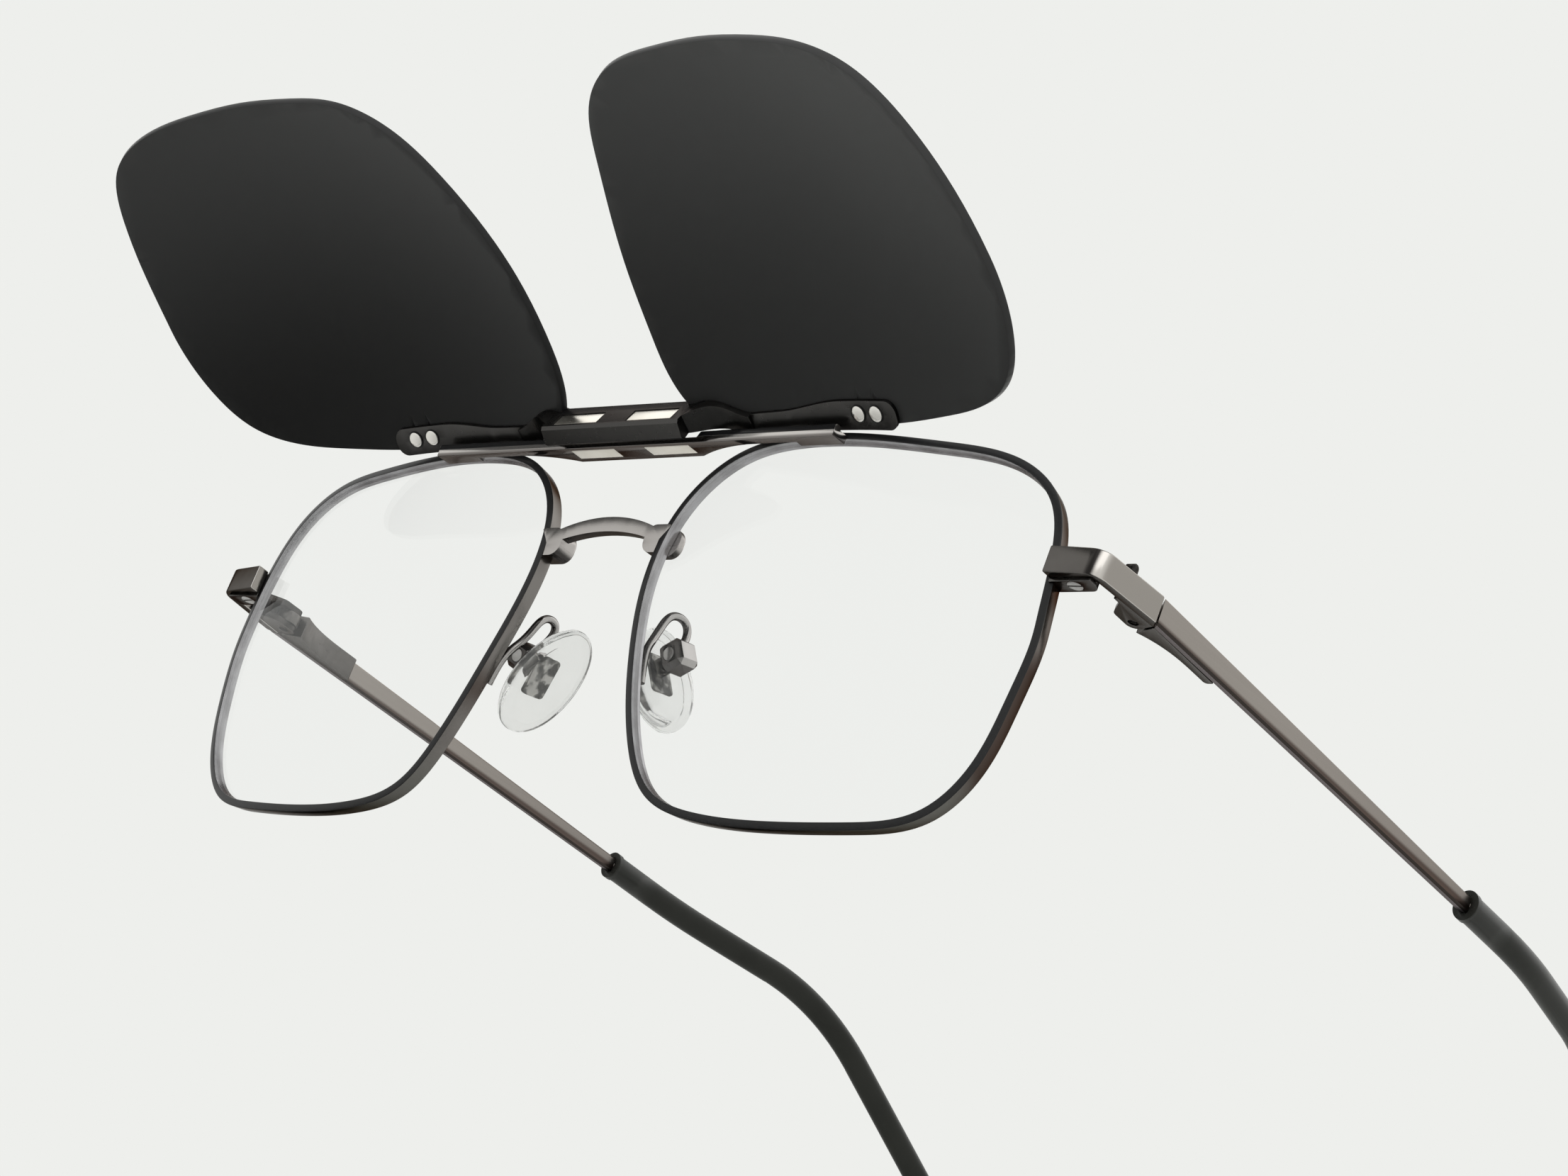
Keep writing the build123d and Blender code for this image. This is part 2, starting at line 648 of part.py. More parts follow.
pad_screw = pad_screw + tongue_at * Pos(0, -half_box, pad_box_out) * Rot(90, 0, 0) * Cylinder(
    pad_screw_head, pad_screw_head_height, align=(Align.CENTER, Align.CENTER, Align.MAX)
)
keep_pair("pad_screw", pad_plane * pad_screw)

# Pad arms: bent wire from the back of the rim over a loop to the box
arm_path = FilletPolyline(*arm_points, radius=arm_bend_radii)
arm_start = Vector(*arm_points[0])
arm_plane = Plane(origin=arm_start, z_dir=Vector(*arm_points[1]) - arm_start)
arm = sweep(arm_plane * Circle(arm_radius), path=arm_path)
keep_pair("pad_arm", arm - rim_blank - pad_box - pad_plane * (box_slot + screw_bore + head_bore))

# Rivets: domed heads behind the arm and in front of the lens, on one shank through both
dome_radius = (rivet_head_radius**2 + rivet_dome**2) / (2 * rivet_dome)
dome = Pos(0, 0, rivet_dome - dome_radius) * Sphere(dome_radius)
dome = dome & (Pos(0, 0, rivet_dome) * Box(2 * dome_radius, 2 * dome_radius, 2 * rivet_dome))
rivet_front = clip_thickness + rivet_lift
rivet_rear = arm_strap_thickness + rivet_lift
shank = Pos(0, 0, -rivet_rear) * Cylinder(
    rivet_shank_radius, rivet_front + rivet_rear, align=(Align.CENTER, Align.CENTER, Align.MIN)
)
rivet = shank + Pos(0, 0, rivet_front) * dome + Pos(0, 0, -rivet_rear) * Rot(180, 0, 0) * dome

# Tinted clip lenses, drilled for two rivets each, and the arm that lies on the back of each
to_rest = Pos(0, seat_pole_y, seat_pole_z) * Rot(-clip_turn, 0, 0) * Pos(0, -seat_pole_y, -seat_pole_z)
arm_length = arm_strap_end - arm_strap_start
tints = {}
clip_arms = {}
for side, sign in SIDES:
    apex = Vector(
        sign * (clip_vertex_x - clip_radius * sin(radians(clip_form))),
        clip_vertex_y + clip_radius * cos(radians(clip_form)), clip_vertex_z,
    )
    tint_face = outline_face(
        clip_outline_shares, clip_lens_width, clip_lens_height, clip_center_x, clip_center_z, sign,
        apex, clip_radius,
    )
    tint = slab(
        lens_core(tint_face, apex, -2 * overrun, 2 * overrun), apex, clip_radius + clip_thickness,
        clip_radius,
    )
    start = Vector(sign * arm_strap_start, overrun, arm_strap_low + arm_neck)
    neck = Vector(sign * (arm_strap_start + arm_neck_share * arm_length), overrun, start.Z)
    full = Vector(sign * (arm_strap_start + arm_full_share * arm_length), overrun, arm_strap_low)
    end_x = sign * arm_strap_end
    arm_plan = make_face([
        Spline(start, neck, full, tangents=[(sign, 0, 0), (sign, 0, 0)]),
        *Polyline(
            full, (end_x, overrun, arm_strap_low), (end_x, overrun, arm_strap_high),
            (start.X, overrun, arm_strap_high), start,
        ).edges(),
    ])
    outer_corners = arm_plan.vertices().sort_by(Axis.X)[::sign][-2:]
    arm_plan = fillet(outer_corners, arm_strap_round)
    clip_arm = slab(
        extrude(arm_plan, 2 * overrun, dir=(0, -1, 0)), apex, clip_radius,
        clip_radius - arm_strap_thickness,
    )
    rivets = []
    for i in range(2):
        rivet_seat = on_sphere(sign * (rivet_first_x + i * rivet_pitch), rivet_z, apex, clip_radius)
        rivet_plane = Plane(origin=rivet_seat, z_dir=rivet_seat - apex)
        hole = rivet_plane * Cylinder(rivet_shank_radius + rivet_fit, overrun)
        tint = tint - hole
        clip_arm = clip_arm - hole
        rivets.append(rivet_plane * rivet)
    tints[side] = tint
    clip_arms[side] = clip_arm
    keep(f"clip_lens_{side}", to_rest * tint)
    keep(f"clip_rivets_{side}", to_rest * Compound(children=rivets))

# Clip bridge: the magnet tab, a twisted saddle each side and an arm along each lens
tab_low = seat_height
tab_rear = tab_depth - tab_front
tab = block(
    -tab_width / 2, tab_width / 2, -tab_front, tab_rear, tab_low, tab_low + tab_thickness
)
tab = chamfer(tab.edges().filter_by(Axis.X), tab_bevel)
tab_front_corners = [
    Pos(side * tab_width / 2, -tab_front, tab_low) * Rot(0, 0, 45) * Box(
        2 * tab_corner * cos(radians(45)), 2 * tab_corner * cos(radians(45)), 2 * overrun
    )
    for side in (-1, 1)
]
arm_joint = clip_arms["left"].faces().sort_by(Axis.X)[0]


def saddle_section(x, front, rear, low, high):
    """One cross-section of the saddle, square to the clip's width."""
    return make_face(
        Polyline((x, front, low), (x, rear, low), (x, rear, high), (x, front, high), close=True)
    )


joint_box = arm_joint.bounding_box()
saddle_start = tab_width / 2 - tab_corner
saddle_run = arm_strap_start - saddle_start
sections = []
for along, front, rear, low, high in saddle_shares:
    sections.append(saddle_section(
        saddle_start + along * saddle_run, front * tab_depth - tab_front, rear * tab_depth - tab_front,
        tab_low + low * tab_thickness, tab_low + high * tab_thickness,
    ))
sections.append(saddle_section(
    arm_strap_start, joint_box.min.Y, joint_box.max.Y, joint_box.min.Z, joint_box.max.Z
))
saddle = loft(sections)
pocket_x = magnet_length + 2 * pocket_margin
pocket_y = magnet_width + 2 * pocket_margin
for corner in tab_front_corners:
    tab = tab - corner
clip_bridge = tab + saddle + mirror(saddle, about=Plane.YZ)
for side, sign in SIDES:
    clip_bridge = clip_bridge - tints[side]
    clip_bridge = clip_bridge + clip_arms[side]
for side in (-1, 1):
    clip_bridge = clip_bridge - Pos(side * magnet_x, magnet_middle, tab_low) * Box(
        pocket_x, pocket_y, 2 * pocket_depth
    )
    clip_bridge = clip_bridge - Pos(side * magnet_x, magnet_middle, tab_low) * Box(
        magnet_length + 2 * magnet_clearance, magnet_width + 2 * magnet_clearance,
        2 * (pocket_depth + clip_magnet_thickness),
    )
keep("clip_bridge", to_rest * clip_bridge)
clip_magnet = Pos(magnet_x, magnet_middle, tab_low + pocket_depth + clip_magnet_thickness / 2) * Box(
    magnet_length, magnet_width, clip_magnet_thickness
)
keep_pair("clip_magnet", to_rest * clip_magnet)
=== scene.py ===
import json
from math import cos, pi, radians, sin

import bmesh
import bpy
from mathutils import Matrix, Vector
from mathutils.bvhtree import BVHTree


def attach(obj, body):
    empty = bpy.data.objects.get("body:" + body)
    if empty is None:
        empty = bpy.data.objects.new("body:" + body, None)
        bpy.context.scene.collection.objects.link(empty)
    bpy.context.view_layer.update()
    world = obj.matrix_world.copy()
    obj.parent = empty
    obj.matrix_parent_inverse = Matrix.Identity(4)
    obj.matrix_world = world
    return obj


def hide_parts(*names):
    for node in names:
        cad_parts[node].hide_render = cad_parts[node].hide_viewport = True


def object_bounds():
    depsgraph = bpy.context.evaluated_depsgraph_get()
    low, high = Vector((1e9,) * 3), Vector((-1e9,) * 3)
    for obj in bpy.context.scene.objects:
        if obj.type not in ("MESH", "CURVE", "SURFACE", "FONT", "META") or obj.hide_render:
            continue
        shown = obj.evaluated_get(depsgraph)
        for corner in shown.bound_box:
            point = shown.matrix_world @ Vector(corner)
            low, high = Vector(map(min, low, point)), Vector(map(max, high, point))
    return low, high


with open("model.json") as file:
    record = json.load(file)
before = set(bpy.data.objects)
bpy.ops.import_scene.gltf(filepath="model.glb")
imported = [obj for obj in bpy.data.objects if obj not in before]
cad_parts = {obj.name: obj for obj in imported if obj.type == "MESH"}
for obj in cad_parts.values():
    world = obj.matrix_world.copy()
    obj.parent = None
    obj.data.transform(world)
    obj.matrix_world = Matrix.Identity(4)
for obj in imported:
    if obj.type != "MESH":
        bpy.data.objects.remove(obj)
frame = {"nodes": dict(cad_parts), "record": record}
cad_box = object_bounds()

# Studio: one camera below the front on the wearer's left, a pale floor under the frame, a pale
# backdrop all round and three soft lamps. The floor is clear from below, where the camera stands.
MM = 0.001
scene = bpy.context.scene
scene.view_settings.view_transform = "Standard"
camera_place = Vector((335.7, -291.34, -172.12)) * MM
camera_forward = Vector((-0.6789, 0.6499, 0.3416)).normalized()
camera_up = Vector((0.0129, -0.4546, 0.8906)).normalized()
camera_right = camera_forward.cross(camera_up).normalized()
camera_data = bpy.data.cameras.new("camera")
camera_data.lens = 93.4
camera_data.sensor_width = 36.0
camera_data.clip_start = 0.01
camera = bpy.data.objects.new("camera", camera_data)
camera.matrix_world = Matrix.LocRotScale(
    camera_place, Matrix((camera_right, camera_up, -camera_forward)).transposed(), None
)
scene.collection.objects.link(camera)
scene.camera = camera


class Wire:
    """A socket in a node tree that is added, subtracted and multiplied like a number."""

    def __init__(self, tree, socket):
        self.tree = tree
        self.socket = socket

    def math(self, operation, *others, first=None):
        values = [self, *others] if first is None else [first, self]
        return self.tree.node("ShaderNodeMath", {"operation": operation}, values)

    def __add__(self, other):
        return self.math("ADD", other)

    def __radd__(self, other):
        return self.math("ADD", other)

    def __sub__(self, other):
        return self.math("SUBTRACT", other)

    def __rsub__(self, other):
        return self.math("SUBTRACT", first=other)

    def __mul__(self, other):
        return self.math("MULTIPLY", other)

    def __rmul__(self, other):
        return self.math("MULTIPLY", other)

    def __neg__(self):
        return self.math("MULTIPLY", -1.0)

    def __abs__(self):
        return self.math("ABSOLUTE")

    def ramp(self, low, high, start=0.0, end=1.0):
        """From start to end while this runs from low to high, and level outside."""
        settings = {"interpolation_type": "SMOOTHSTEP"}
        return self.tree.node("ShaderNodeMapRange", settings, [self, low, high, start, end])


class Finish:
    """A material under construction, with its Principled shader and one way to add a node."""

    def __init__(self, name, **constants):
        self.material = bpy.data.materials.new(name)
        self.material.use_nodes = True
        self.nodes = self.material.node_tree.nodes
        self.links = self.material.node_tree.links
        self.shader = self.nodes["Principled BSDF"]
        self.set(**constants)

    def set(self, **sockets):
        for name, value in sockets.items():
            self.feed(self.shader.inputs[name.replace("_", " ")], value)

    def feed(self, socket, value):
        if isinstance(value, Wire):
            self.links.new(value.socket, socket)
        elif socket.type == "RGBA" and len(value) == 3:
            socket.default_value = (*value, 1.0)
        else:
            socket.default_value = value

    def node(self, kind, settings, values, output=0):
        made = self.nodes.new(kind)
        for name, value in settings.items():
            setattr(made, name, value)
        pairs = values.items() if isinstance(values, dict) else enumerate(values)
        for key, value in pairs:
            self.feed(made.inputs[key], value)
        return Wire(self, made.outputs[output])

    def place(self, axis):
        """How far along an axis a point on the object is from the magnet seat, in millimetres."""
        spot = self.node("ShaderNodeTexCoord", {}, [], "Object")
        return self.node("ShaderNodeSeparateXYZ", {}, [spot], axis) * (1 / MM)

    def facing(self, axis):
        """How far the surface's own normal points along an axis, from -1 to 1."""
        normal = self.node("ShaderNodeTexCoord", {}, [], "Normal")
        return self.node("ShaderNodeSeparateXYZ", {}, [normal], axis)

    def noise(self, scale, stretch=(1, 1, 1), detail=3.0):
        spot = self.node("ShaderNodeTexCoord", {}, [], "Object")
        spot = self.node("ShaderNodeMapping", {}, {"Vector": spot, "Scale": stretch})
        values = {"Vector": spot, "Scale": scale, "Detail": detail}
        return self.node("ShaderNodeTexNoise", {}, values)

    def mix(self, share, low, high):
        """A colour between two colours."""
        settings = {"data_type": "RGBA"}
        return self.node("ShaderNodeMix", settings, {0: share, 6: low, 7: high}, 2)

    def bump(self, height, distance, strength=1.0):
        values = {"Height": height, "Distance": distance, "Strength": strength}
        self.set(Normal=self.node("ShaderNodeBump", {}, values))


backdrop_colour = (0.855, 0.863, 0.839)
backdrop_fill = 0.62
floor_drop = 0.05 * MM
floor_half = 1.6
floor_square = ((-1, -1), (1, -1), (1, 1), (-1, 1))
floor_level = cad_box[0].z - floor_drop
floor_corners = [(a * floor_half, b * floor_half, floor_level) for a, b in floor_square]
floor_mesh = bpy.data.meshes.new("floor")
floor_mesh.from_pydata(floor_corners, [], [(0, 1, 2, 3)])
floor = bpy.data.objects.new("floor", floor_mesh)
scene.collection.objects.link(floor)
paper = Finish("floor_paper", Roughness=0.9, Specular_IOR_Level=0.1)
paper_grain = paper.noise(900.0)
paper.set(Base_Color=paper.mix(paper_grain, (0.84, 0.85, 0.825), (0.87, 0.88, 0.855)))
clear = paper.nodes.new("ShaderNodeBsdfTransparent")
swap = paper.nodes.new("ShaderNodeMixShader")
paper.feed(swap.inputs[0], paper.node("ShaderNodeNewGeometry", {}, [], "Backfacing"))
paper.links.new(paper.shader.outputs[0], swap.inputs[1])
paper.links.new(clear.outputs[0], swap.inputs[2])
paper.links.new(swap.outputs[0], paper.nodes["Material Output"].inputs["Surface"])
floor.data.materials.append(paper.material)

world = bpy.data.worlds.new("backdrop")
world.use_nodes = True
scene.world = world
sky_nodes = world.node_tree.nodes
sky_links = world.node_tree.links
sky_fill = sky_nodes["Background"]
sky_fill.inputs["Color"].default_value = (1.0, 1.0, 1.0, 1.0)
sky_fill.inputs["Strength"].default_value = backdrop_fill
sky_seen = sky_nodes.new("ShaderNodeBackground")
sky_seen.inputs["Color"].default_value = (*backdrop_colour, 1.0)
ray = sky_nodes.new("ShaderNodeLightPath")
sky_mix = sky_nodes.new("ShaderNodeMixShader")
seen = ray.outputs["Is Camera Ray"]
for kind in ("Is Glossy Ray", "Is Transmission Ray"):
    either = sky_nodes.new("ShaderNodeMath")
    either.operation = "MAXIMUM"
    sky_links.new(seen, either.inputs[0])
    sky_links.new(ray.outputs[kind], either.inputs[1])
    seen = either.outputs[0]
sky_links.new(seen, sky_mix.inputs[0])
sky_links.new(sky_fill.outputs[0], sky_mix.inputs[1])
sky_links.new(sky_seen.outputs[0], sky_mix.inputs[2])
sky_links.new(sky_mix.outputs[0], sky_nodes["World Output"].inputs["Surface"])

for lamp_name, lamp_place, lamp_size, lamp_power in (
    ("lamp_key", (0.60, -0.60, 0.85), 1.2, 3.8),
    ("lamp_fill", (-0.50, -0.05, 1.05), 1.0, 1.8),
    ("lamp_back", (0.10, 0.95, 0.75), 1.0, 1.8),
):
    lamp_data = bpy.data.lights.new(lamp_name, "AREA")
    lamp_data.size = lamp_size
    lamp_data.energy = lamp_power
    lamp = bpy.data.objects.new(lamp_name, lamp_data)
    lamp.location = lamp_place
    lamp.visible_transmission = False
    lamp.rotation_mode = "QUATERNION"
    lamp.rotation_quaternion = (-Vector(lamp_place)).to_track_quat("-Z", "Y")
    scene.collection.objects.link(lamp)

# Rims: steel wire of channel section, rolled to the lens outline. The face is filled with black
# enamel, the sides are polished gunmetal with painted reflection streaks, and the wall beside the
# lens is painted pale as a painted reflection of the backdrop.
SIDES = {"left": 1, "right": -1}
bodies = frame["record"]["behaviour"]["bodies"]
node_body = {node: body for body, nodes in bodies.items() for node in nodes}


def fitted(node, mesh):
    """A piece with this mesh that rides with a CAD node's body and is shown in its place."""
    piece = bpy.data.objects.new(f"{node}_finished", mesh)
    scene.collection.objects.link(piece)
    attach(piece, node_body[node])
    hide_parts(node)
    return piece


seam_gap = 0.002 * MM
flat_turn = radians(0.3)


def faired(node, material, edge=0.0, segments=2, angle=32.0, flats=True):
    """A copy of a CAD node with its seams closed, its edges eased and its curves smooth."""
    mesh = frame["nodes"][node].data.copy()
    work = bmesh.new()
    work.from_mesh(mesh)
    bmesh.ops.remove_doubles(work, verts=work.verts, dist=seam_gap)
    if flats:
        bmesh.ops.dissolve_limit(work, angle_limit=flat_turn, verts=work.verts, edges=work.edges)
    work.to_mesh(mesh)
    work.free()
    mesh.materials.clear()
    mesh.materials.append(material)
    mesh.shade_smooth()
    piece = fitted(node, mesh)
    if edge > 0:
        eased = piece.modifiers.new("eased_edges", "BEVEL")
        eased.width = edge * MM
        eased.segments = segments
        eased.limit_method = "ANGLE"
        eased.angle_limit = radians(angle)
        eased.harden_normals = True
    else:
        mesh.set_sharp_from_angle(angle=radians(angle))
    return piece


lens_middle_x = 37.35
lens_middle_z = -23.1
rim_sphere = 143.0
rim_setback = 0.35
rim_depth = 1.9
seat_shift_y = -1.6
seat_shift_z = -22.4
rim_tilt = radians(5.2)
rim_stations = 240
rim_turns = [2 * pi * i / rim_stations for i in range(rim_stations)]
rim_corner = 0.11
corner_steps = 4
wall_depths = (0.2, 1.7)
thinnest_rim, thickest_rim = 0.8, 1.6
rim_guesses = (23.0, 25.0, 27.0, 29.0, 31.0)
probe_length = 0.04
probe_step = 0.05 * MM
refinings = 3
smoothings = 3


def rim_outlines(side, sign):
    """The rim's inner and outer edges, in front and behind, as points all round the lens."""
    shape = bmesh.new()
    shape.from_mesh(frame["nodes"][f"rim_{side}"].data)
    walls = BVHTree.FromBMesh(shape)
    shape.free()
    middle_x = sign * lens_middle_x
    apex = Vector((
        sign * (lens_middle_x - rim_sphere * sin(rim_tilt)),
        rim_setback + rim_sphere + seat_shift_y,
        seat_shift_z,
    ))

    def skin(x, z, depth):
        """A point of the rim's own sphere, so far behind its front."""
        fall = ((rim_sphere - depth) ** 2 - (x - apex.x) ** 2 - (z - apex.z) ** 2) ** 0.5
        return Vector((x, apex.y - fall, z))

    def reach(turn, depth, guess):
        """How far out the inner and the outer wall are, in one direction."""
        near = skin(middle_x, lens_middle_z, depth)
        far = skin(middle_x + guess * cos(turn), lens_middle_z + guess * sin(turn), depth)
        course = (far - near).normalized()
        hits = []
        start = near * MM
        for _ in range(2):
            hit = walls.ray_cast(start, course, probe_length)[0]
            if hit is None:
                return None
            hits.append(((hit.x / MM - near.x) ** 2 + (hit.z / MM - near.z) ** 2) ** 0.5)
            start = hit + course * probe_step
        return hits

    outlines = []
    for depth, level in zip(wall_depths, (0.0, rim_depth)):
        found = []
        for turn in rim_turns:
            tries = [reach(turn, depth, guess) for guess in rim_guesses]
            hits = min((h for h in tries if h), default=None)
            for _ in range(refinings):
                hits = hits and reach(turn, depth, hits[0])
            found.append(hits if hits and thinnest_rim < hits[1] - hits[0] < thickest_rim else None)
        for i in range(rim_stations):
            if found[i] is None:
                others = found[i + 1:] + found[:i]
                before = next(hits for hits in reversed(others) if hits)
                after = next(hits for hits in others if hits)
                found[i] = [(u + v) / 2 for u, v in zip(before, after)]
        for _ in range(smoothings):
            behind, ahead = found[-1:] + found[:-1], found[1:] + found[:1]
            found = [
                [(u + 2 * v + w) / 4 for u, v, w in zip(*neighbours)]
                for neighbours in zip(behind, found, ahead)
            ]
        for wall in zip(*found):
            outlines.append([
                skin(middle_x + cos(turn) * out, lens_middle_z + sin(turn) * out, level)
                for turn, out in zip(rim_turns, wall)
            ])
    return outlines


def swept_rim(side, sign, materials):
    """The rim's wire with its four corners eased, in three finishes."""
    front_inner, front_outer, rear_inner, rear_outer = rim_outlines(side, sign)
    shape = bmesh.new()
    rings = []
    for corners in zip(front_inner, front_outer, rear_outer, rear_inner):
        ring = []
        for i in range(4):
            corner, before, after = corners[i], corners[i - 1], corners[(i + 1) % 4]
            start = corner + (before - corner).normalized() * rim_corner
            end = corner + (after - corner).normalized() * rim_corner
            for k in range(corner_steps):
                t = k / (corner_steps - 1)
                ring.append(start * (1 - t) ** 2 + corner * 2 * t * (1 - t) + end * t * t)
        rings.append([shape.verts.new(point * MM) for point in ring])
    around = 4 * corner_steps
    for i, ring in enumerate(rings):
        following = rings[(i + 1) % rim_stations]
        for k in range(around):
            onward = (k + 1) % around
            quad = shape.faces.new((ring[k], ring[onward], following[onward], following[k]))
            on_face = 1 <= k < 2 * corner_steps - 2
            beside_lens = k < 1 or k > 3 * corner_steps
            quad.material_index = 0 if on_face else 2 if beside_lens else 1
            quad.smooth = True
    bmesh.ops.recalc_face_normals(shape, faces=shape.faces)
    mesh = bpy.data.meshes.new(f"rim_{side}_finished")
    shape.to_mesh(mesh)
    shape.free()
    for material in materials:
        mesh.materials.append(material)
    fitted(f"rim_{side}", mesh)


enamel_finish = Finish("rim_enamel", Specular_IOR_Level=0.25, Coat_Weight=0.1, Coat_Roughness=0.1)
grain = enamel_finish.noise(1800.0)
tone = enamel_finish.mix(grain, (0.010, 0.010, 0.011), (0.016, 0.016, 0.017))
enamel_finish.set(Base_Color=tone, Roughness=0.26 + grain * 0.1)
enamel_finish.bump(grain, 0.01 * MM, 0.1)
dark_edge = (0.22, 0.20, 0.19, 1.0)
gunmetal_finish = Finish("rim_gunmetal", Metallic=1.0, Specular_Tint=dark_edge)
grain = gunmetal_finish.noise(900.0)
# Painted reflections: large stretched noise streaks the sides brown and silver, and the rim is
# painted greyer along its bottom.
reflection_streaks = gunmetal_finish.noise(75.0, (1, 0.35, 1), 2.0).ramp(0.38, 0.62)
low_on_lens = gunmetal_finish.place("Z").ramp(-38.0, -43.0)
tone = gunmetal_finish.mix(reflection_streaks, (0.088, 0.068, 0.060), (0.22, 0.207, 0.197))
tone = gunmetal_finish.mix(low_on_lens, tone, (0.19, 0.185, 0.172))
gunmetal_finish.set(Base_Color=tone, Roughness=0.16 + grain * 0.1)
gunmetal_finish.bump(grain, 0.005 * MM, 0.06)
# The inner wall's pale tone is a painted reflection of the backdrop, not a brighter metal.
groove_finish = Finish("rim_inner_wall", Metallic=1.0, Specular_Tint=dark_edge)
grain = groove_finish.noise(300.0)
tone = groove_finish.mix(grain.ramp(0.3, 0.7), (0.36, 0.355, 0.365), (0.48, 0.475, 0.49))
groove_finish.set(Base_Color=tone, Roughness=0.2 + grain * 0.1)
rim_finishes = (enamel_finish.material, gunmetal_finish.material, groove_finish.material)
for side, sign in SIDES.items():
    swept_rim(side, sign, rim_finishes)

# Clear lenses: polished plastic, coated against glare, so that only the border and a little sheen
# show. Each is sprung into the rim's groove.
clear_lens = Finish("clear_coated_lens", Roughness=0.0, IOR=1.25, Transmission_Weight=1.0)
clear_lens.set(Specular_Tint=(0.0, 0.0, 0.0, 1.0))
smear = clear_lens.noise(60.0)
clear_lens.set(Base_Color=clear_lens.mix(smear, (0.985, 0.99, 0.992), (0.995, 0.997, 0.998)))
for side in SIDES:
    faired(f"lens_{side}", clear_lens.material, flats=False)

# Brow bar and magnet plate: polished strip steel, soldered across the tops of the rims, with the
# seat for the clip cut into its top. The face above the seat is painted near black as a painted
# shadow, and the bar's lower part is painted darker as painted shade. Two block magnets are set in
# the ledge behind. The clip's own two have the same finish.
bar_finish = Finish("polished_bar", Specular_Tint=(0.35, 0.33, 0.32, 1.0))
height = bar_finish.place("Z")
front = -bar_finish.facing("Y")
grain = bar_finish.noise(120.0, (0.3, 1, 1), 1.0)
silver = bar_finish.mix(grain, (0.62, 0.59, 0.57), (0.72, 0.69, 0.67))
# Painted shade: the bar is painted darker towards its lower edge.
silver = bar_finish.mix(height.ramp(-0.2, -0.6), silver, (0.20, 0.185, 0.178))
# Painted shadow: the front face above the seat is painted near black, with less metal.
painted_dark_band = height.ramp(0.02, 0.08) * front.ramp(0.3, 0.6)
bar_finish.set(
    Base_Color=bar_finish.mix(painted_dark_band, silver, (0.012, 0.012, 0.013)),
    Metallic=1.0 - painted_dark_band,
    Roughness=0.10 + grain * 0.08,
)
faired("brow_bar", bar_finish.material, edge=0.08)
plate_finish = Finish("gunmetal_plate", Metallic=1.0, Specular_Tint=dark_edge)
grain = plate_finish.noise(900.0)
tone = plate_finish.mix(grain, (0.13, 0.12, 0.116), (0.17, 0.158, 0.152))
plate_finish.set(Base_Color=tone, Roughness=0.22 + grain * 0.1)
plate_finish.bump(grain, 0.01 * MM, 0.1)
faired("magnet_plate", plate_finish.material, edge=0.06)
nickel = Finish("magnet_nickel", Metallic=1.0)
blotch = nickel.noise(420.0)
tone = nickel.mix(blotch, (0.66, 0.61, 0.53), (0.86, 0.83, 0.77))
nickel.set(Base_Color=tone, Roughness=0.22 + blotch * 0.15)
nickel.bump(blotch, 0.03 * MM, 0.2)
for side in SIDES:
    faired(f"frame_magnet_{side}", nickel.material, edge=0.08)
    faired(f"clip_magnet_{side}", nickel.material, edge=0.08)

# Lower bridge: an arched strip with a bright satin face, its upper and lower edges painted dark as
# painted shade, and lobes that are soldered behind the rims.
bridge_finish = Finish("satin_bridge", Metallic=1.0, Specular_Tint=(0.4, 0.38, 0.36, 1.0))
# Painted shade: faces turned up or down are painted dark.
turned = abs(bridge_finish.facing("Z"))
grain = bridge_finish.noise(500.0, (0.1, 1, 1), 1.0)
tone = bridge_finish.mix(grain, (0.46, 0.435, 0.42), (0.52, 0.495, 0.48))
tone = bridge_finish.mix(turned.ramp(0.25, 0.65), tone, (0.075, 0.07, 0.068))
bridge_finish.set(Base_Color=tone, Roughness=0.22 + grain * 0.1)
bridge_finish.bump(grain, 0.01 * MM, 0.12)
faired("nose_bridge", bridge_finish.material, edge=0.15, segments=3, flats=False)

# End pieces and rim locks: bent straps in polished dark gunmetal, soldered over the rims, with the
# two halves of the lock behind them and a slotted screw from below.
strap_finish = Finish("dark_gunmetal", Metallic=1.0, Specular_Tint=(0.3, 0.28, 0.27, 1.0))
# Painted highlight and shade: as a face turns sideways the strap is painted dark, then a bright
# painted highlight band at the bend, then mid grey; faces turned up or down are painted mid grey.
turned = abs(strap_finish.facing("X"))
level = abs(strap_finish.facing("Z"))
grain = strap_finish.noise(900.0, (1, 0.4, 1))
tone = strap_finish.mix(grain, (0.120, 0.112, 0.106), (0.150, 0.140, 0.132))
tone = strap_finish.mix(turned.ramp(0.12, 0.42), tone, (0.024, 0.022, 0.021))
tone = strap_finish.mix(turned.ramp(0.50, 0.72), tone, (0.60, 0.57, 0.54))
tone = strap_finish.mix(turned.ramp(0.85, 0.99), tone, (0.34, 0.316, 0.293))
tone = strap_finish.mix(level.ramp(0.6, 0.9), tone, (0.11, 0.105, 0.10))
strap_finish.set(Base_Color=tone, Roughness=0.17 + grain * 0.1)
strap_finish.bump(grain, 0.01 * MM, 0.08)
lock_finish = Finish("rim_lock_metal", Metallic=1.0, Specular_Tint=dark_edge)
grain = lock_finish.noise(900.0)
tone = lock_finish.mix(grain, (0.09, 0.085, 0.082), (0.15, 0.145, 0.14))
lock_finish.set(Base_Color=tone, Roughness=0.2 + grain * 0.1)
screw_finish = Finish("turned_screw", Metallic=1.0)
grain = screw_finish.noise(2500.0)
tone = screw_finish.mix(grain, (0.30, 0.29, 0.28), (0.46, 0.45, 0.44))
screw_finish.set(Base_Color=tone, Roughness=0.25 + grain * 0.15)
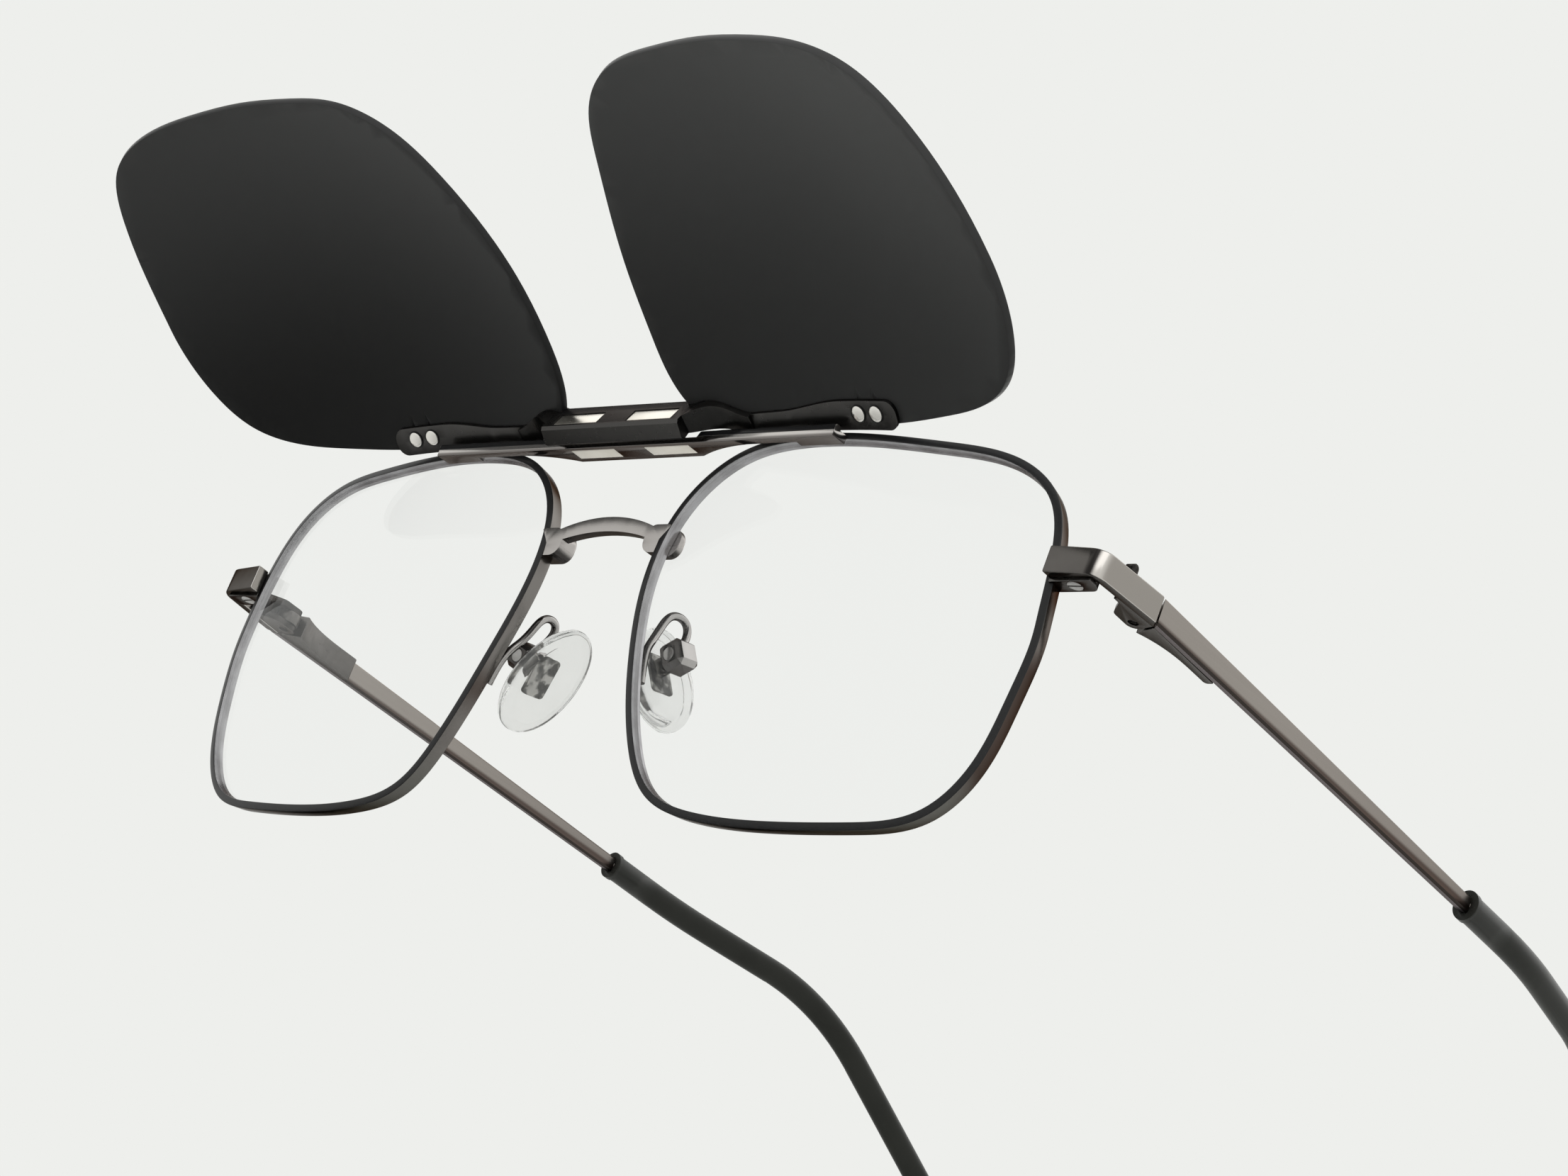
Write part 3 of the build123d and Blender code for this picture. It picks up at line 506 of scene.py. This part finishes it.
for side in SIDES:
    faired(f"end_piece_{side}", strap_finish.material, edge=0.18, segments=3)
    faired(f"rim_lock_lower_{side}", lock_finish.material, edge=0.1)
    faired(f"rim_lock_upper_{side}", lock_finish.material, edge=0.1)
    faired(f"rim_lock_screw_{side}", screw_finish.material, edge=0.05)

# Hinges: a forked leaf inside each strap, polished dark with its underside painted lighter as
# painted light, then a pin, and the spring, its slider and its housing in satin steel, also painted
# lighter underneath.
leaf_finish = Finish("polished_leaf", Metallic=1.0, Specular_Tint=(0.3, 0.29, 0.28, 1.0))
under = -leaf_finish.facing("Z")
grain = leaf_finish.noise(700.0)
tone = leaf_finish.mix(grain.ramp(0.4, 0.6), (0.030, 0.028, 0.027), (0.075, 0.070, 0.067))
# Painted light: faces turned downwards are painted lighter.
tone = leaf_finish.mix(under.ramp(0.5, 0.9), tone, (0.14, 0.134, 0.13))
leaf_finish.set(Base_Color=tone, Roughness=0.14 + grain * 0.1)
hinge_finish = Finish("satin_hinge", Metallic=1.0, Specular_Tint=(0.3, 0.29, 0.28, 1.0))
under = -hinge_finish.facing("Z")
grain = hinge_finish.noise(1200.0)
tone = hinge_finish.mix(grain, (0.12, 0.114, 0.108), (0.17, 0.161, 0.154))
# Painted light: faces turned downwards are painted lighter.
tone = hinge_finish.mix(under.ramp(0.5, 0.9), tone, (0.17, 0.163, 0.158))
hinge_finish.set(Base_Color=tone, Roughness=0.24 + grain * 0.12)
hinge_finish.bump(grain, 0.01 * MM, 0.15)
for side in SIDES:
    faired(f"hinge_leaf_{side}", leaf_finish.material, edge=0.12, segments=3)
    faired(f"hinge_screw_{side}", screw_finish.material, edge=0.05)
    faired(f"hinge_slider_{side}", hinge_finish.material, edge=0.05)
    faired(f"spring_housing_{side}", hinge_finish.material, edge=0.12)
    faired(f"hinge_spring_{side}", screw_finish.material)

# Temples: bevelled steel strips with a satin, faintly brushed face, painted darker to the rear and
# in a long wedge along the lower bevel as painted shade, with painted shade and painted light on
# their undersides. They are let into moulded tips, bent behind the ear.
temple_finish = Finish("brushed_temple", Metallic=1.0, Specular_Tint=(0.45, 0.42, 0.40, 1.0))
strip_drop, strip_slope = 14.2, 0.055
wedge_top, wedge_slope = -1.35, 0.016
along = temple_finish.place("Y")
height = temple_finish.place("Z") + along * strip_slope + strip_drop
outer = abs(temple_finish.facing("X")).ramp(0.7, 0.9)
under = -temple_finish.facing("Z")
brush = temple_finish.noise(1500.0, (1, 0.02, 1), 2.0)
wedge = (along * wedge_slope + wedge_top - height).ramp(-0.25, 0.25) * outer
tone = temple_finish.mix(brush, (0.32, 0.292, 0.27), (0.36, 0.33, 0.306))
# Painted shade: the strip is painted darker towards the rear.
tone = temple_finish.mix(along.ramp(30.0, 100.0, 0.0, 0.60), tone, (0.13, 0.115, 0.107))
# Painted shade: a dark brown wedge along the lower bevel of the outer face.
tone = temple_finish.mix(wedge * 0.85, tone, (0.075, 0.052, 0.045))
# Painted shade on faces turned partly down, and painted light on faces turned straight down.
tone = temple_finish.mix(under.ramp(0.3, 0.6), tone, (0.055, 0.047, 0.043))
tone = temple_finish.mix(under.ramp(0.85, 0.97), tone, (0.23, 0.215, 0.225))
temple_finish.set(Base_Color=tone, Roughness=0.28 + brush * 0.05)
temple_finish.bump(brush, 0.004 * MM, 0.04)
tip_finish = Finish("moulded_tip", Specular_IOR_Level=0.10)
mottle = tip_finish.noise(150.0)
tone = tip_finish.mix(mottle, (0.020, 0.0205, 0.018), (0.032, 0.033, 0.029))
tip_finish.set(Base_Color=tone, Roughness=0.26 + mottle * 0.14)
tip_finish.bump(tip_finish.noise(600.0), 0.01 * MM, 0.04)
for side in SIDES:
    faired(f"temple_{side}", temple_finish.material, edge=0.08)
    faired(f"temple_tip_{side}", tip_finish.material, angle=40.0, flats=False)

# Nose pads: clear silicone moulded over a metal insert, whose tongue is held by a small screw in a
# box at the end of a bent wire arm.
silicone = Finish("clear_silicone", IOR=1.2, Transmission_Weight=0.9)
cloud = silicone.noise(260.0)
tone = silicone.mix(cloud, (0.88, 0.885, 0.875), (0.965, 0.968, 0.96))
silicone.set(Base_Color=tone, Roughness=0.02 + cloud * 0.08)
silicone.bump(silicone.noise(420.0), 0.05 * MM, 0.4)
wire_finish = Finish("polished_dark_wire", Metallic=1.0, Specular_Tint=dark_edge)
outer = abs(wire_finish.facing("X"))
under = -wire_finish.facing("Z")
grain = wire_finish.noise(900.0)
tone = wire_finish.mix(grain, (0.05, 0.046, 0.044), (0.10, 0.094, 0.090))
# Painted highlight: faces turned sideways are painted light; painted light also lightens faces
# turned downwards.
tone = wire_finish.mix(outer.ramp(0.65, 0.9), tone, (0.45, 0.435, 0.425))
tone = wire_finish.mix(under.ramp(0.6, 0.85), tone, (0.16, 0.153, 0.15))
wire_finish.set(Base_Color=tone, Roughness=0.10 + grain * 0.1)
insert_finish = Finish("pad_insert_steel", Metallic=1.0, Specular_Tint=(0.5, 0.48, 0.46, 1.0))
patches = insert_finish.noise(700.0).ramp(0.40, 0.60)
tone = insert_finish.mix(patches, (0.06, 0.058, 0.055), (0.50, 0.49, 0.47))
insert_finish.set(Base_Color=tone, Roughness=0.25)
pad_middle = Vector((9.65, 7.3, -26.9))
pad_flare = radians(26.0)
pad_rake = radians(-6.0)
pad_splay = radians(6.0)
pad_half_length = 7.2
pad_half_width = 4.7
pad_egg = 0.05
pad_steps = 64
pad_profile = (
    (0.0, 1.12), (0.3, 1.11), (0.6, 1.07), (0.74, 1.02), (0.77, 0.84), (0.80, 0.84),
    (0.83, 1.0), (0.91, 0.95), (0.96, 0.78), (0.99, 0.42), (1.0, 0.0), (0.99, -0.45),
    (0.95, -0.85), (0.88, -1.06), (0.5, -1.1), (0.0, -1.1),
)
arm_route = (
    (12.7, 1.8, -30.0), (12.2, 1.7, -27.8), (11.6, 1.9, -25.8), (11.0, 2.9, -24.2),
    (10.7, 3.7, -22.2), (10.6, 4.6, -19.6), (10.8, 7.6, -19.4), (11.5, 7.5, -21.8),
    (12.2, 6.1, -23.8),
)
arm_radius = 0.48


def cushion(side, sign):
    """A domed oval pad with a shallow line round its face, flat where the box stands."""
    down = Vector((sin(pad_flare) * cos(pad_rake), sin(pad_rake), -cos(pad_flare) * cos(pad_rake)))
    out = down.cross(Vector((sin(pad_splay), cos(pad_splay), 0))).normalized()
    wide = out.cross(down).normalized()
    if out.x > 0:
        out.negate()
    shape = bmesh.new()
    rings = []
    for share, height in pad_profile:
        ring = []
        for i in range(pad_steps if share > 0 else 1):
            turn = 2 * pi * i / pad_steps
            egg = 1 + pad_egg * cos(turn)
            spot = pad_middle + down * (share * pad_half_length * cos(turn))
            spot = spot + wide * (share * pad_half_width * egg * sin(turn)) + out * height
            ring.append(shape.verts.new(Vector((sign * spot.x, spot.y, spot.z)) * MM))
        rings.append(ring)
    for inner, outer in zip(rings, rings[1:]):
        for i in range(pad_steps):
            corners = [(inner, i), (outer, i), (outer, i + 1), (inner, i + 1)]
            corners = [circle[k % len(circle)] for circle, k in corners]
            shape.faces.new(list(dict.fromkeys(corners))).smooth = True
    bmesh.ops.recalc_face_normals(shape, faces=shape.faces)
    mesh = bpy.data.meshes.new(f"nose_pad_{side}_finished")
    shape.to_mesh(mesh)
    shape.free()
    mesh.materials.append(silicone.material)
    fitted(f"nose_pad_{side}", mesh)


class Tree:
    """A Geometry Nodes tree under construction, with its named inputs and one way to add a node."""

    def __init__(self, name, **inputs):
        self.group = bpy.data.node_groups.new(name, "GeometryNodeTree")
        self.nodes = self.group.nodes
        self.keys = {}
        self.socket("Geometry", "INPUT", "NodeSocketGeometry")
        for label, kind in inputs.items():
            self.keys[label] = self.socket(label, "INPUT", kind).identifier
        self.socket("Geometry", "OUTPUT", "NodeSocketGeometry")
        self.entry = self.nodes.new("NodeGroupInput").outputs
        self.exit = self.nodes.new("NodeGroupOutput").inputs[0]

    def socket(self, label, way, kind):
        return self.group.interface.new_socket(label, in_out=way, socket_type=kind)

    def node(self, kind, settings, **values):
        made = self.nodes.new(kind)
        for name, value in settings.items():
            setattr(made, name, value)
        for name, value in values.items():
            label = name.replace("_", " ")
            socket = next(s for s in made.inputs if s.enabled and s.name == label)
            if isinstance(value, bpy.types.NodeSocket):
                self.group.links.new(value, socket)
            else:
                socket.default_value = value
        return next(s for s in made.outputs if s.enabled)

    def join(self, *parts):
        made = self.nodes.new("GeometryNodeJoinGeometry")
        for part in parts:
            self.group.links.new(part, made.inputs[0])
        return made.outputs[0]

    def finish(self, geometry):
        self.group.links.new(geometry, self.exit)

    def apply(self, source, node, **values):
        """The tree's result on an object, as a plain mesh piece that stands for a CAD node."""
        grown = source.modifiers.new("grown", "NODES")
        grown.node_group = self.group
        for key, value in values.items():
            grown[self.keys[key]] = value
        scene.collection.objects.link(source)
        graph = bpy.context.evaluated_depsgraph_get()
        mesh = bpy.data.meshes.new_from_object(source.evaluated_get(graph))
        mesh.name = f"{node}_finished"
        bpy.data.objects.remove(source)
        fitted(node, mesh)


bent_wire = Tree("bent_wire", Radius="NodeSocketFloat", Finish="NodeSocketMaterial")
entry = bent_wire.entry
ring = bent_wire.node(
    "GeometryNodeCurvePrimitiveCircle", {}, Resolution=20, Radius=entry["Radius"]
)
tube = bent_wire.node(
    "GeometryNodeCurveToMesh", {}, Curve=entry["Geometry"], Profile_Curve=ring, Fill_Caps=True
)
tube = bent_wire.node("GeometryNodeSetShadeSmooth", {}, Geometry=tube)
tube = bent_wire.node("GeometryNodeRealizeInstances", {}, Geometry=tube)
tube = bent_wire.node(
    "GeometryNodeSetMaterial", {}, Geometry=tube, Material=entry["Finish"]
)
bent_wire.finish(tube)
for side, sign in SIDES.items():
    cushion(side, sign)
    faired(f"pad_insert_{side}", insert_finish.material, edge=0.05)
    faired(f"pad_box_{side}", wire_finish.material, edge=0.36, segments=5)
    faired(f"pad_screw_{side}", screw_finish.material, edge=0.05)
    route = bpy.data.curves.new("arm_route", "CURVE")
    route.dimensions = "3D"
    run = route.splines.new("NURBS")
    run.points.add(len(arm_route) - 1)
    for point, (x, y, z) in zip(run.points, arm_route):
        point.co = (sign * x * MM, y * MM, z * MM, 1.0)
    run.order_u = 4
    run.use_endpoint_u = True
    run.resolution_u = 10
    bent_wire.apply(
        bpy.data.objects.new("arm_route", route), f"pad_arm_{side}",
        Radius=arm_radius * MM, Finish=wire_finish.material,
    )

# Clip: a lacquered tab with two magnet pockets, a saddle each side and an arm behind each lens.
# The tab's lower edge comes down over the line between it and the brow bar.
tab_foot = -0.5
tab_drop = 0.42
clip_finish = Finish("dark_lacquer", Metallic=0.9, Specular_Tint=dark_edge)
front = -clip_finish.facing("Y")
grain = clip_finish.noise(1300.0)
# Painted light: faces turned forwards are painted lighter than the rest of the lacquer.
tone = clip_finish.mix(front.ramp(0.5, 0.8), (0.030, 0.0293, 0.0287), (0.085, 0.082, 0.080))
clip_finish.set(Base_Color=tone, Roughness=0.24 + grain * 0.1)
clip_finish.bump(grain, 0.01 * MM, 0.1)
clip_bridge = faired("clip_bridge", clip_finish.material, edge=0.12, segments=3)
for vertex in clip_bridge.data.vertices:
    if vertex.co.z < tab_foot * MM:
        vertex.co.z -= tab_drop * MM

# Tinted lenses: dark grey polarised plastic with a polished edge, held by two rivets each. The tone
# is deepest by the clip's bridge and is painted paler a little forwards and to the wearer's left,
# as painted light.
tint = Finish("tinted_lens", IOR=1.5, Roughness=0.3, Specular_IOR_Level=0.08)
forward = (-tint.place("Y")).ramp(6.0, 44.0)
across = tint.place("X").ramp(-62.0, 62.0)
# Painted light: the tone pales forwards and to the wearer's left.
tone = tint.mix(forward * 0.6 + across * 0.4, (0.010, 0.010, 0.010), (0.064, 0.064, 0.064))
tint.set(Base_Color=tone, Alpha=0.992)
for side in SIDES:
    faired(f"clip_lens_{side}", tint.material, edge=0.08, flats=False)

# Rivets: two on each side, silver domes drawn up on the lens in front and on the arm behind, their
# sides painted dark as painted shade, with a thin near-black ring where each head meets the surface
# as painted shade.
rivet_finish = Finish("silver_rivet", Metallic=1.0, Specular_Tint=(0.6, 0.58, 0.55, 1.0))
outer = abs(rivet_finish.facing("X"))
grain = rivet_finish.noise(700.0)
tone = rivet_finish.mix(grain, (0.80, 0.78, 0.74), (0.93, 0.90, 0.86))
# Painted shade: the dome's sides turned left and right are painted dark.
tone = rivet_finish.mix(outer.ramp(0.5, 0.85), tone, (0.22, 0.21, 0.20))
rivet_finish.set(Base_Color=tone, Roughness=0.16 + grain * 0.08)
# Painted shade: a near-black ring where each head meets the surface stands in for the shade in that
# crease.
shade_ring_finish = Finish("rivet_painted_shade_ring", Roughness=0.3, Metallic=0.6)
grain = shade_ring_finish.noise(900.0)
tone = shade_ring_finish.mix(grain, (0.006, 0.006, 0.006), (0.012, 0.012, 0.012))
shade_ring_finish.set(Base_Color=tone)
rivet_middles = ((35.116, -0.828, 2.564), (37.862, -0.938, 2.357))
rivet_lean = radians(-39.15)
rivet_cant = radians(6.1)
rivet_sizes = {
    "Head": 1.0 * MM, "Dome": 0.34, "ShadeRing": 0.12 * MM, "Shank": 0.4 * MM,
    "Grip": (0.0, 0.0, 0.685 * MM),
}
rivet_row = Tree(
    "rivet_row", Head="NodeSocketFloat", Dome="NodeSocketFloat", ShadeRing="NodeSocketFloat",
    Shank="NodeSocketFloat", Grip="NodeSocketVector", Tilt="NodeSocketVector",
    Metal="NodeSocketMaterial", Ring="NodeSocketMaterial",
)
entry = rivet_row.entry
dome = rivet_row.node("GeometryNodeMeshUVSphere", {}, Segments=32, Rings=16, Radius=entry["Head"])
flat = rivet_row.node("ShaderNodeCombineXYZ", {}, X=1.0, Y=1.0, Z=entry["Dome"])
dome = rivet_row.node("GeometryNodeTransform", {}, Geometry=dome, Scale=flat)
dome = rivet_row.node("GeometryNodeSetMaterial", {}, Geometry=dome, Material=entry["Metal"])
circle = rivet_row.node(
    "GeometryNodeCurvePrimitiveCircle", {}, Resolution=40, Radius=entry["Head"]
)
wire = rivet_row.node(
    "GeometryNodeCurvePrimitiveCircle", {}, Resolution=10, Radius=entry["ShadeRing"]
)
shade_ring = rivet_row.node("GeometryNodeCurveToMesh", {}, Curve=circle, Profile_Curve=wire)
shade_ring = rivet_row.node("GeometryNodeSetMaterial", {}, Geometry=shade_ring, Material=entry["Ring"])
head = rivet_row.join(dome, shade_ring)
low = rivet_row.node(
    "ShaderNodeVectorMath", {"operation": "SCALE"}, Vector=entry["Grip"], Scale=-1.0
)
high_head = rivet_row.node(
    "GeometryNodeTransform", {}, Geometry=head, Translation=entry["Grip"]
)
low_head = rivet_row.node("GeometryNodeTransform", {}, Geometry=head, Translation=low)
axis = rivet_row.node("GeometryNodeCurvePrimitiveLine", {}, Start=low, End=entry["Grip"])
stem = rivet_row.node(
    "GeometryNodeCurvePrimitiveCircle", {}, Resolution=20, Radius=entry["Shank"]
)
shank = rivet_row.node(
    "GeometryNodeCurveToMesh", {}, Curve=axis, Profile_Curve=stem, Fill_Caps=True
)
shank = rivet_row.node("GeometryNodeSetMaterial", {}, Geometry=shank, Material=entry["Metal"])
rivet = rivet_row.join(high_head, low_head, shank)
rivet = rivet_row.node("GeometryNodeSetShadeSmooth", {}, Geometry=rivet)
spots = rivet_row.node("GeometryNodeMeshToPoints", {}, Mesh=entry["Geometry"])
row = rivet_row.node(
    "GeometryNodeInstanceOnPoints", {}, Points=spots, Instance=rivet, Rotation=entry["Tilt"]
)
rivet_row.finish(rivet_row.node("GeometryNodeRealizeInstances", {}, Geometry=row))
for side, sign in SIDES.items():
    marks = bpy.data.meshes.new("rivet_marks")
    marks.from_pydata([(sign * x * MM, y * MM, z * MM) for x, y, z in rivet_middles], [], [])
    rivet_row.apply(
        bpy.data.objects.new("rivet_marks", marks), f"clip_rivets_{side}", **rivet_sizes,
        Tilt=(rivet_lean, sign * rivet_cant, 0.0),
        Metal=rivet_finish.material, Ring=shade_ring_finish.material,
    )
